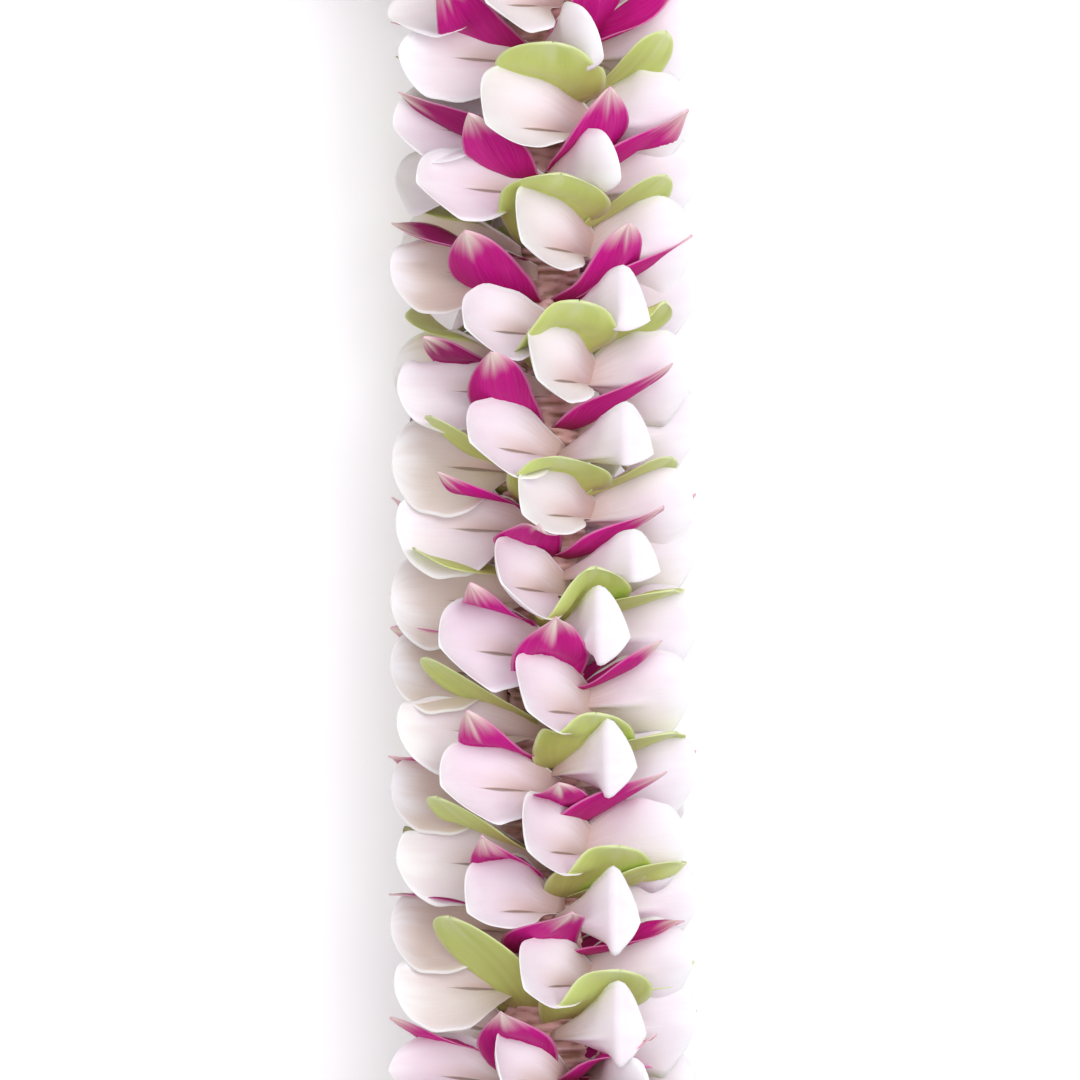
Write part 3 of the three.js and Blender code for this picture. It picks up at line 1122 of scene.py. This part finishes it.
    def pleats(self, pile: Pile) -> None:
        """Adds the pleated bases, a sleeve of crumpled folds round the thread.

        Args:
            pile: where they go.
        """
        rng = np.random.default_rng(PLEATS_SEED + self.number)
        turn = around(self.pleats_sides)
        rings = np.linspace(self.pleats_start, self.pleats_end, self.pleats_rings)
        a, t = np.meshgrid(rings, turn, indexing="ij")
        phase = rng.uniform(0.0, TURN, 6)
        sway = 1.8 * np.sin(t + phase[0]) + 1.1 * np.sin(2.0 * t + phase[1] + 0.4 * a)
        sway = sway + 0.3 * np.sin(5.0 * t + phase[2])
        fold = np.sin(TURN * (a + sway) / self.pleat_pitch)
        fold = fold + 0.5 * np.sin(TURN * (a - 0.5 * sway) / self.fine_pleat_pitch + phase[3])
        fold = fold * (0.75 + 0.35 * np.sin(3.0 * t + phase[5] + 0.9 * a))
        lumps = self.lump_height * np.sin(3.0 * t + phase[4] + 0.35 * a)
        full = eased(a, self.pleats_start, self.pleats_start + self.pleats_neck_length)
        full = full * fading(a, self.pleats_end - self.pleats_neck_length, self.pleats_end)
        radius = self.pleats_radius * (self.pleats_neck + (1.0 - self.pleats_neck) * full)
        radius = radius + self.pleat_depth * fold + lumps
        bore_ends = np.array([self.pleats_end, self.pleats_start])
        inner_a, inner_t = np.meshgrid(bore_ends, turn, indexing="ij")
        a, t = np.concatenate([a, inner_a]), np.concatenate([t, inner_t])
        radius = np.concatenate([radius, np.full(inner_a.shape, self.bore)])
        points = PATH.laid(self.start, round_thread(radius, t, a)).reshape(-1, 3)
        place = np.zeros((len(points), PLACE_COLUMNS))
        # how deep each point lies in the pleats, by which the finish paints shade in the hollows and light
        # on the crests; the bore is deepest
        place[:, 0] = np.concatenate([fold.ravel(), np.full(inner_a.size, -1.5)]) * 0.33 + 0.5
        place[:, 1], place[:, 2] = a.ravel() / CLUSTER_PITCH, rng.random()
        pile.add(points, ring_faces(*a.shape).reshape(-1, 4), place)

    def build(self, finishes: dict[Colour, bpy.types.Material], overhead: Overhead) -> Overhead:
        """Builds the repeat's pieces.

        Args:
            finishes: the material of each kind of surface.
            overhead: the tier beyond the repeat.

        Returns:
            The repeat's own first tier.
        """
        whites, pleats = Pile(self.white_thickness), Pile()
        magentas, greens = Pile(self.colour_thickness), Pile(self.colour_thickness)
        overhead = self.tier(Colour.GREEN, whites, greens, overhead)
        overhead = self.tier(Colour.MAGENTA, whites, magentas, overhead)
        self.pleats(pleats)
        parts = (
            ("white_petals", Colour.WHITE, whites),
            ("magenta_petals", Colour.MAGENTA, magentas),
            ("green_petals", Colour.GREEN, greens),
            ("pleated_bases", Colour.PLEATS, pleats),
        )
        for name, colour, pile in parts:
            piece = pile.build(f"{name}_{self.number:02d}", colour, finishes[colour])
            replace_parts(piece, self.node)
        return overhead


@dataclass
class Thread:
    """The two-ply thread through all the bases, and its knot."""

    plies: int = 2
    ply_radius: float = 0.36
    ply_offset: float = 0.32
    ply_sides: int = 6
    twist_pitch: float = 4.0
    step: float = 1.0
    knot_at: float = 475.55
    knot_radius: float = 2.1
    knot_points: int = 49
    cord_radius: float = 0.55
    cord_sides: int = 8
    cord_end: float = 0.15
    tail_length: float = 7.0
    tail_points: int = 12
    tail_leans: tuple[float, float] = (35.0, -50.0)

    def tube(self, line: np.ndarray, radius: float, sides: int, closed: bool) -> Arrays:
        """Makes a tube round a line of points.

        Args:
            line: the points.
            radius: the tube's radius.
            sides: points round it.
            closed: whether the line closes on itself.

        Returns:
            The tube's points and faces.
        """
        ahead = np.roll(line, -1, axis=0) - np.roll(line, 1, axis=0)
        if not closed:
            ahead[0], ahead[-1] = line[1] - line[0], line[-1] - line[-2]
        ahead /= np.linalg.norm(ahead, axis=1, keepdims=True)
        nearly_up = np.array([0.31, 0.22, 0.92])
        side = np.cross(ahead, nearly_up)
        side /= np.linalg.norm(side, axis=1, keepdims=True)
        rise = np.cross(side, ahead)
        turn = around(sides)[None, :, None]
        ring = np.cos(turn) * side[:, None, :] + np.sin(turn) * rise[:, None, :]
        size = np.full(len(line), radius)
        faces = ring_faces(len(line), sides)
        if not closed:
            size[0] = size[-1] = self.cord_end * radius
            faces = faces[:-1]
        return (line[:, None, :] + ring * size[:, None, None]).reshape(-1, 3), faces.reshape(-1, 4)

    def strand(self) -> Pile:
        """Twists the plies along the whole loop.

        Returns:
            The pile that holds them.
        """
        length = PATH.loop_length / MM
        along = np.arange(0.0, length, self.step)
        turns = round(length / self.twist_pitch)
        strand = Pile()
        for ply in range(self.plies):
            turn = TURN * turns * along / length + math.pi * ply
            line = PATH.laid(0.0, round_thread(self.ply_offset, turn, along)) / MM
            points, faces = self.tube(line, self.ply_radius, self.ply_sides, True)
            strand.add(points * MM, faces)
        return strand

    def knot(self) -> Pile:
        """Ties the thread's ends, and leaves two short tails.

        Returns:
            The pile that holds the knot.
        """
        turn = np.linspace(0.0, TURN, self.knot_points)[:-1]
        half = 0.5 * self.knot_radius
        across = half * (np.sin(turn) + 2.0 * np.sin(2.0 * turn)) * 0.55
        up = half * (np.cos(turn) - 2.0 * np.cos(2.0 * turn)) * 0.55
        lines = [(np.stack([across, half * np.sin(3.0 * turn), up], axis=-1), True)]
        out = np.linspace(0.0, self.tail_length, self.tail_points)
        for lean in self.tail_leans:
            angle = math.radians(lean)
            fallen = out * math.cos(angle) - 0.02 * out**2
            lines.append((np.stack([out * math.sin(angle), 0.12 * out**1.2, fallen], axis=-1), False))
        knot = Pile()
        for line, closed in lines:
            points, faces = self.tube(line, self.cord_radius, self.cord_sides, closed)
            knot.add(PATH.laid(self.knot_at, points), faces)
        return knot

    def build(self, material: bpy.types.Material) -> None:
        """Builds the thread and the knot, with the thread's finish."""
        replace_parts(self.strand().build("thread_strand", Colour.THREAD, material), "thread")
        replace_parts(self.knot().build("thread_knot_tied", Colour.THREAD, material), "thread_knot")


@dataclass(frozen=True)
class Skin:
    """How rough and glossy a surface is, and how strong and high its bumps are, the height in metres."""

    roughness: float
    gloss: float
    bump: float
    bump_height: float


class Shader:
    """A small helper that adds nodes to a tree and joins them."""

    def __init__(self, tree: bpy.types.NodeTree) -> None:
        """Works on a material's or a group's node tree."""
        self.tree = tree

    def add(self, kind: str, settings: dict | None = None, **values: object) -> bpy.types.Node:
        """Adds a node.

        Args:
            kind: the node's type.
            settings: the node's own settings.
            **values: its inputs by name, with _ for a space, or i and a number for their order.

        Returns:
            The node.
        """
        node = self.tree.nodes.new(kind)
        for name, value in (settings or {}).items():
            setattr(node, name, value)
        for name, value in values.items():
            by_order = name[0] == "i" and name[1:].isdigit()
            self.put(node.inputs[int(name[1:]) if by_order else name.replace("_", " ")], value)
        return node

    def put(self, socket: bpy.types.NodeSocket, value: object) -> None:
        """Gives a socket a value, or joins it to another socket.

        Args:
            socket: the input.
            value: a number, a colour or an output socket.
        """
        if isinstance(value, bpy.types.NodeSocket):
            self.tree.links.new(value, socket)
        elif isinstance(value, tuple) and len(value) == 3 and socket.type == "RGBA":
            socket.default_value = (*value, 1.0)
        else:
            socket.default_value = value

    def math(self, operation: str, *values: object) -> bpy.types.NodeSocket:
        """Adds a Math node.

        Args:
            operation: what it does.
            *values: its inputs in order.

        Returns:
            Its result.
        """
        node = self.add("ShaderNodeMath", {"operation": operation})
        for socket, value in zip(node.inputs, values):
            self.put(socket, value)
        return node.outputs[0]

    def times(self, first: object, second: object) -> bpy.types.NodeSocket:
        """Multiplies two values."""
        return self.math("MULTIPLY", first, second)

    def plus(self, first: object, second: object) -> bpy.types.NodeSocket:
        """Adds two values."""
        return self.math("ADD", first, second)

    def minus(self, first: object, second: object) -> bpy.types.NodeSocket:
        """Takes the second value from the first."""
        return self.math("SUBTRACT", first, second)

    def ramp(self, value: object, start: float, end: float) -> bpy.types.NodeSocket:
        """Rises smoothly from 0 at start to 1 at end, or falls where end is below start.

        Args:
            value: what is looked at.
            start: where the result is 0.
            end: where it is 1.

        Returns:
            The result.
        """
        node = self.add("ShaderNodeMapRange", {"interpolation_type": "SMOOTHSTEP"}, Value=value)
        node.inputs["From Min"].default_value = min(start, end)
        node.inputs["From Max"].default_value = max(start, end)
        if end < start:
            node.inputs["To Min"].default_value, node.inputs["To Max"].default_value = 1.0, 0.0
        return node.outputs[0]

    def blend(self, share: object, first: object, second: object) -> bpy.types.NodeSocket:
        """Blends two colours.

        Args:
            share: how much of the second.
            first: the first colour.
            second: the second colour.

        Returns:
            The blended colour.
        """
        return self.add("ShaderNodeMix", {"data_type": "RGBA"}, i0=share, i6=first, i7=second).outputs[2]

    def attribute(self, name: str, output: str) -> bpy.types.NodeSocket:
        """Reads one of the mesh's attributes."""
        return self.add("ShaderNodeAttribute", {"attribute_name": name}).outputs[output]

    def noise(self, scale: float, detail: float) -> bpy.types.NodeSocket:
        """Draws noise that sits on the object."""
        where = self.add("ShaderNodeTexCoord").outputs["Object"]
        return self.add("ShaderNodeTexNoise", Vector=where, Scale=scale, Detail=detail).outputs[0]

    def surface(self, skin: Skin, colour: object, height: object) -> None:
        """Adds the surface and the output.

        Args:
            skin: how rough, glossy and bumpy it is.
            colour: its colour.
            height: the height of its bumps.
        """
        bump = self.add("ShaderNodeBump", Height=height, Strength=skin.bump, Distance=skin.bump_height)
        surface = self.add("ShaderNodeBsdfPrincipled", Base_Color=colour, Normal=bump.outputs[0])
        surface.inputs["Roughness"].default_value = skin.roughness
        surface.inputs["Specular IOR Level"].default_value = skin.gloss
        self.add("ShaderNodeOutputMaterial", Surface=surface.outputs[0])


def bare_material(colour: Colour) -> tuple[bpy.types.Material, Shader]:
    """Starts a material with nothing in it.

    Args:
        colour: the kind of surface that it is for.

    Returns:
        The material, and the helper that fills its tree.
    """
    material = bpy.data.materials.new(colour.value)
    material.use_nodes = True
    material.node_tree.nodes.clear()
    return material, Shader(material.node_tree)


def vein_group() -> bpy.types.NodeTree:
    """Makes the node group that draws a petal's streaks, fine veins, midrib, crease and rim.

    Returns:
        The group. A place on the petal, how many streaks and veins it has and where its rim starts go in,
        and masks and a height come out.
    """
    tree = bpy.data.node_groups.new("petal_veins", "ShaderNodeTree")
    tree.interface.new_socket("Place", in_out="INPUT", socket_type="NodeSocketVector")
    for name in ("Streaks", "Veins", "Rim From"):
        tree.interface.new_socket(name, in_out="INPUT", socket_type="NodeSocketFloat")
    for name in ("Streak", "Vein", "Rim", "Height", "Midrib", "Crease"):
        tree.interface.new_socket(name, in_out="OUTPUT", socket_type="NodeSocketFloat")
    shader = Shader(tree)
    given = shader.add("NodeGroupInput").outputs
    u, v, chance = shader.add("ShaderNodeSeparateXYZ", Vector=given["Place"]).outputs[:3]
    across = shader.math("ABSOLUTE", v)
    fan = shader.math("DIVIDE", v, shader.plus(u, 0.55))
    shift = shader.times(chance, 37.0)

    def lines(density: object, run: float, detail: float) -> bpy.types.NodeSocket:
        """Draws noise that is stretched along the petal.

        Args:
            density: how many lines lie side by side.
            run: how often they change along the petal.
            detail: how fine the noise is.

        Returns:
            The noise.
        """
        x, y = shader.times(fan, density), shader.times(u, run)
        where = shader.add("ShaderNodeCombineXYZ", i0=x, i1=y, i2=shift).outputs[0]
        noise = shader.add("ShaderNodeTexNoise", Vector=where, Scale=1.0, Detail=detail, Roughness=0.55)
        return noise.outputs[0]

    vein = lines(given["Veins"], 1.6, 2.0)
    pores = lines(shader.times(given["Veins"], 2.4), 22.0, 0.0)
    edge = shader.minus(across, given["Rim From"])
    middle_part = shader.times(shader.ramp(u, 0.10, 0.34), shader.ramp(u, 0.70, 0.46))
    # The crease mask marks where white petals get a painted shadow in their fold's slit.
    drawn = {
        "Streak": shader.ramp(lines(given["Streaks"], 0.9, 2.0), 0.32, 0.68),
        "Vein": vein,
        "Rim": shader.math("MAXIMUM", shader.ramp(edge, 0.0, 0.06), shader.ramp(u, 0.965, 0.995)),
        "Height": shader.plus(shader.times(vein, 0.75), shader.times(pores, 0.25)),
        "Midrib": shader.ramp(across, 0.2, 0.0),
        "Crease": shader.ramp(shader.minus(across, shader.times(middle_part, 0.06)), 0.0, -0.03),
    }
    shader.add("NodeGroupOutput", **drawn)
    return tree


@dataclass(frozen=True)
class PetalFinish:
    """A petal's finish: its colours from root to tip, how far they reach, and its skin. Its root colour is
    painted shade where the petals bunch at the core, partly the magenta's own deeper base; its shaded
    colour is painted shade and its crease colour a painted shadow.
    """

    colour: Colour
    body: RGB
    deep: RGB
    # painted shade towards the root, partly the magenta's own deeper base
    root: RGB
    tip: RGB
    rim: RGB
    # painted shade: the colour of petals that lie in shade
    shaded: RGB
    root_reach: float
    tip_from: float
    tip_streak: float
    rim_share: float
    # painted shadow in the slit of a white petal's fold
    crease: RGB = (0.22, 0.13, 0.08)
    crease_share: float = 0.75
    deep_streaks: float = 0.4
    deep_chance: float = 0.35
    vein_tint: float = 0.35
    tip_ragged: float = 0.09
    tip_length: float = 0.3
    streaks: float = 3.0
    veins: float = 26.0
    rim_from: float = 0.9
    skin: Skin = Skin(0.5, 0.35, 0.12, 0.0006)

    def fold_shade(self, shader: Shader, u: object, v: object, side: object) -> bpy.types.NodeSocket:
        """Draws the shade on the upper half of a white petal's inner side, beside its fold.

        Args:
            shader: the helper that adds the nodes.
            u: the place along the petal.
            v: the place across it.
            side: which side of the petal it is.

        Returns:
            The shade's share.
        """
        above = shader.times(shader.ramp(v, 0.62, 0.0), shader.ramp(v, -0.04, 0.03))
        fold = shader.times(shader.times(above, side), shader.ramp(u, 0.78, 0.35))
        return shader.times(fold, self.crease_share)

    def build(self, veins: bpy.types.NodeTree) -> bpy.types.Material:
        """Makes the material.

        Args:
            veins: the group that draws the petal's marks.

        Returns:
            The material.
        """
        white = self.colour is Colour.WHITE
        material, shader = bare_material(self.colour)
        place = shader.attribute("petal_place", "Vector")
        painted_shade, side = shader.attribute("petal_painted_shade", "Fac"), shader.attribute("petal_side", "Fac")
        values = {"Streaks": self.streaks, "Veins": self.veins, "Rim_From": self.rim_from}
        drawn = shader.add("ShaderNodeGroup", {"node_tree": veins}, Place=place, **values).outputs
        u, v, chance = shader.add("ShaderNodeSeparateXYZ", Vector=place).outputs[:3]
        deeper = shader.times(drawn["Streak"], self.deep_streaks)
        deeper = shader.plus(deeper, shader.times(chance, self.deep_chance))
        colour = shader.blend(deeper, self.body, self.deep)
        # painted shade for petals that lie in shade
        colour = shader.blend(painted_shade, colour, self.shaded)
        tint = shader.times(shader.minus(drawn["Vein"], 0.5), self.vein_tint)
        colour = shader.blend(shader.math("ABSOLUTE", tint), colour, self.rim)
        # darker towards the root: painted shade where the petals bunch at the core, partly the magenta's
        # own deeper base; on whites also the painted shade beside the fold
        near_root = shader.ramp(shader.plus(u, shader.times(tint, 0.5)), self.root_reach, 0.0)
        if white:
            near_root = shader.math("MAXIMUM", near_root, self.fold_shade(shader, u, v, side))
        colour = shader.blend(near_root, colour, self.root)
        ragged = shader.times(shader.minus(drawn["Streak"], 0.5), self.tip_ragged)
        late = shader.minus(self.tip_from, shader.times(drawn["Midrib"], self.tip_streak))
        near_tip = shader.ramp(shader.minus(u, shader.plus(late, ragged)), 0.0, self.tip_length)
        colour = shader.blend(near_tip, colour, self.tip)
        colour = shader.blend(shader.times(drawn["Rim"], self.rim_share), colour, self.rim)
        if white:
            # painted shadow in the fold's slit, on the inner side only
            slit = shader.times(drawn["Crease"], side)
            colour = shader.blend(shader.times(slit, self.crease_share), colour, self.crease)
        shader.surface(self.skin, colour, drawn["Height"])
        return material


# In each finish the root and shaded colours are painted shade, and the white's crease colour is a painted
# shadow.
PETAL_FINISHES = (
    PetalFinish(
        Colour.WHITE,
        body=(0.92, 0.86, 0.92),
        deep=(0.90, 0.80, 0.86),
        root=(0.62, 0.44, 0.38),
        tip=(0.97, 0.96, 0.97),
        rim=(0.98, 0.97, 0.98),
        shaded=(0.64, 0.50, 0.36),
        root_reach=0.5,
        tip_from=0.72,
        tip_streak=0.0,
        rim_share=0.75,
    ),
    PetalFinish(
        Colour.MAGENTA,
        body=(0.66, 0.003, 0.29),
        deep=(0.47, 0.003, 0.17),
        root=(0.30, 0.006, 0.07),
        tip=(0.88, 0.78, 0.68),
        rim=(0.88, 0.42, 0.66),
        shaded=(0.22, 0.004, 0.07),
        root_reach=0.40,
        tip_from=0.76,
        tip_streak=0.07,
        rim_share=0.45,
        skin=Skin(0.62, 0.15, 0.12, 0.0006),
    ),
    PetalFinish(
        Colour.GREEN,
        body=(0.66, 0.77, 0.21),
        deep=(0.52, 0.61, 0.13),
        root=(0.42, 0.42, 0.12),
        tip=(0.68, 0.76, 0.34),
        rim=(0.80, 0.86, 0.52),
        shaded=(0.38, 0.40, 0.10),
        root_reach=0.4,
        tip_from=0.80,
        tip_streak=0.1,
        rim_share=0.5,
    ),
)


@dataclass(frozen=True)
class PleatFinish:
    """The pleated bases: dusty rose folds with khaki-brown painted shade between them, and painted light on
    their crests.
    """

    fold: RGB = (0.66, 0.37, 0.34)
    # painted light on the folds' crests
    crest: RGB = (0.82, 0.58, 0.56)
    shade: RGB = (0.34, 0.18, 0.12)
    skin: Skin = Skin(0.6, 0.5, 0.3, 0.0005)

    def build(self) -> bpy.types.Material:
        """Makes the material.

        Returns:
            The material.
        """
        material, shader = bare_material(Colour.PLEATS)
        place = shader.attribute("petal_place", "Vector")
        depth = shader.add("ShaderNodeSeparateXYZ", Vector=place).outputs[0]
        blotch, grain = shader.noise(260.0, 3.0), shader.noise(1400.0, 2.0)
        height = shader.plus(depth, shader.times(shader.minus(blotch, 0.5), 0.8))
        # painted shade in the pleats' hollows and painted light on their crests, by how deep each point
        # lies
        colour = shader.blend(shader.ramp(height, 0.15, 0.55), self.shade, self.fold)
        colour = shader.blend(shader.ramp(height, 0.55, 1.0), colour, self.crest)
        shader.surface(self.skin, colour, grain)
        return material


@dataclass(frozen=True)
class ThreadFinish:
    """The thread: off-white cotton with fine twisted fibres."""

    cotton: RGB = (0.80, 0.77, 0.70)
    hollow: RGB = (0.55, 0.50, 0.43)
    skin: Skin = Skin(0.85, 0.5, 0.4, 0.0002)

    def build(self) -> bpy.types.Material:
        """Makes the material.

        Returns:
            The material.
        """
        material, shader = bare_material(Colour.THREAD)
        fibre = shader.noise(3200.0, 3.0)
        # darker where the fibres' bumps are low: painted shade in their hollows
        colour = shader.blend(shader.ramp(fibre, 0.35, 0.65), self.hollow, self.cotton)
        shader.surface(self.skin, colour, fibre)
        return material


class Lamp(NamedTuple):
    """A soft square light: its name, its place in metres from the middle, its side, watts and colour."""

    name: str
    place: tuple[float, float, float]
    side: float
    power: float
    colour: RGB


@dataclass
class Studio:
    """The floor, the soft light and the camera."""

    middle: tuple[float, float] = (0.08984, 0.0042)
    strand_height: float = 0.03
    seen_width: float = 0.2512
    camera_height: float = 2.03
    floor_size: float = 6.0
    floor_low: RGB = (0.93, 0.93, 0.95)
    floor_high: RGB = (0.95, 0.95, 0.96)
    floor_glow: float = 0.24
    world_strength: float = 0.45
    lamps: tuple[Lamp, ...] = (
        Lamp("key", (0.95, 0.5, 1.5), 1.0, 9.5, (1.0, 0.985, 1.0)),
        Lamp("top", (0.3, 0.3, 1.9), 1.8, 21.0, (0.97, 0.96, 1.0)),
        Lamp("fill", (-1.3, -0.3, 0.9), 1.0, 4.0, (1.0, 0.93, 0.85)),
    )

    def floor(self) -> None:
        """Lays the plain pale floor."""
        mesh = bpy.data.meshes.new("floor")
        half = self.floor_size / 2
        corners = [(-half, -half, 0), (half, -half, 0), (half, half, 0), (-half, half, 0)]
        mesh.from_pydata(corners, [], [(0, 1, 2, 3)])
        floor = bpy.data.objects.new("floor", mesh)
        bpy.context.scene.collection.objects.link(floor)
        material = bpy.data.materials.new("pale_floor")
        material.use_nodes = True
        shader = Shader(material.node_tree)
        skin = material.node_tree.nodes["Principled BSDF"]
        grain = shader.noise(900.0, 2.0)
        shader.put(skin.inputs["Base Color"], shader.blend(grain, self.floor_low, self.floor_high))
        skin.inputs["Roughness"].default_value = 0.9
        skin.inputs["Specular IOR Level"].default_value = 0.1
        skin.inputs["Emission Color"].default_value = (0.97, 0.97, 1.0, 1.0)
        skin.inputs["Emission Strength"].default_value = self.floor_glow
        mesh.materials.append(material)

    def light(self, lamp: Lamp) -> None:
        """Adds a soft light that faces the strand.

        Args:
            lamp: the light.
        """
        made = bpy.data.lights.new(lamp.name, "AREA")
        made.shape, made.size, made.energy, made.color = "SQUARE", lamp.side, lamp.power, lamp.colour
        holder = bpy.data.objects.new(lamp.name, made)
        x, y, z = lamp.place
        holder.location = (self.middle[0] + x, self.middle[1] + y, z)
        bpy.context.scene.collection.objects.link(holder)
        target = Vector((*self.middle, self.strand_height))
        holder.rotation_euler = (target - holder.location).to_track_quat("-Z", "Y").to_euler()

    def build(self) -> None:
        """Sets up the floor, the lights, the world and the camera."""
        scene = bpy.context.scene
        self.floor()
        for lamp in self.lamps:
            self.light(lamp)
        world = bpy.data.worlds.new("studio")
        world.use_nodes = True
        background = world.node_tree.nodes["Background"]
        background.inputs[0].default_value = (0.95, 0.95, 1.0, 1.0)
        background.inputs[1].default_value = self.world_strength
        scene.world = world
        camera = bpy.data.cameras.new("camera")
        camera.lens = camera.sensor_width * (self.camera_height - self.strand_height) / self.seen_width
        camera.clip_start, camera.clip_end = 0.05, 20.0
        holder = bpy.data.objects.new("camera", camera)
        holder.location = (*self.middle, self.camera_height)
        scene.collection.objects.link(holder)
        scene.camera = holder
        scene.view_settings.view_transform = "Standard"
        log.info("studio: a floor, %d lights and a camera", len(self.lamps))


def main() -> None:
    """Builds the lei's pieces in order, then the studio."""
    logging.basicConfig(level=logging.INFO, format="%(message)s")
    veins = vein_group()
    finishes = {finish.colour: finish.build(veins) for finish in PETAL_FINISHES}
    finishes[Colour.PLEATS] = PleatFinish().build()
    finishes[Colour.THREAD] = ThreadFinish().build()
    overhead = Overhead(Nest(), LAST_BEFORE_KNOT * CLUSTER_PITCH)
    for step in range(CLUSTERS):
        number = (LAST_BEFORE_KNOT - 1 - step) % CLUSTERS + 1
        if number == CLUSTERS:
            overhead = Overhead(overhead.nest, overhead.station + CLUSTERS * CLUSTER_PITCH)
        overhead = PetalCluster(number).build(finishes, overhead)
    Thread().build(finishes[Colour.THREAD])
    Studio().build()


if __name__ == "__main__":
    main()
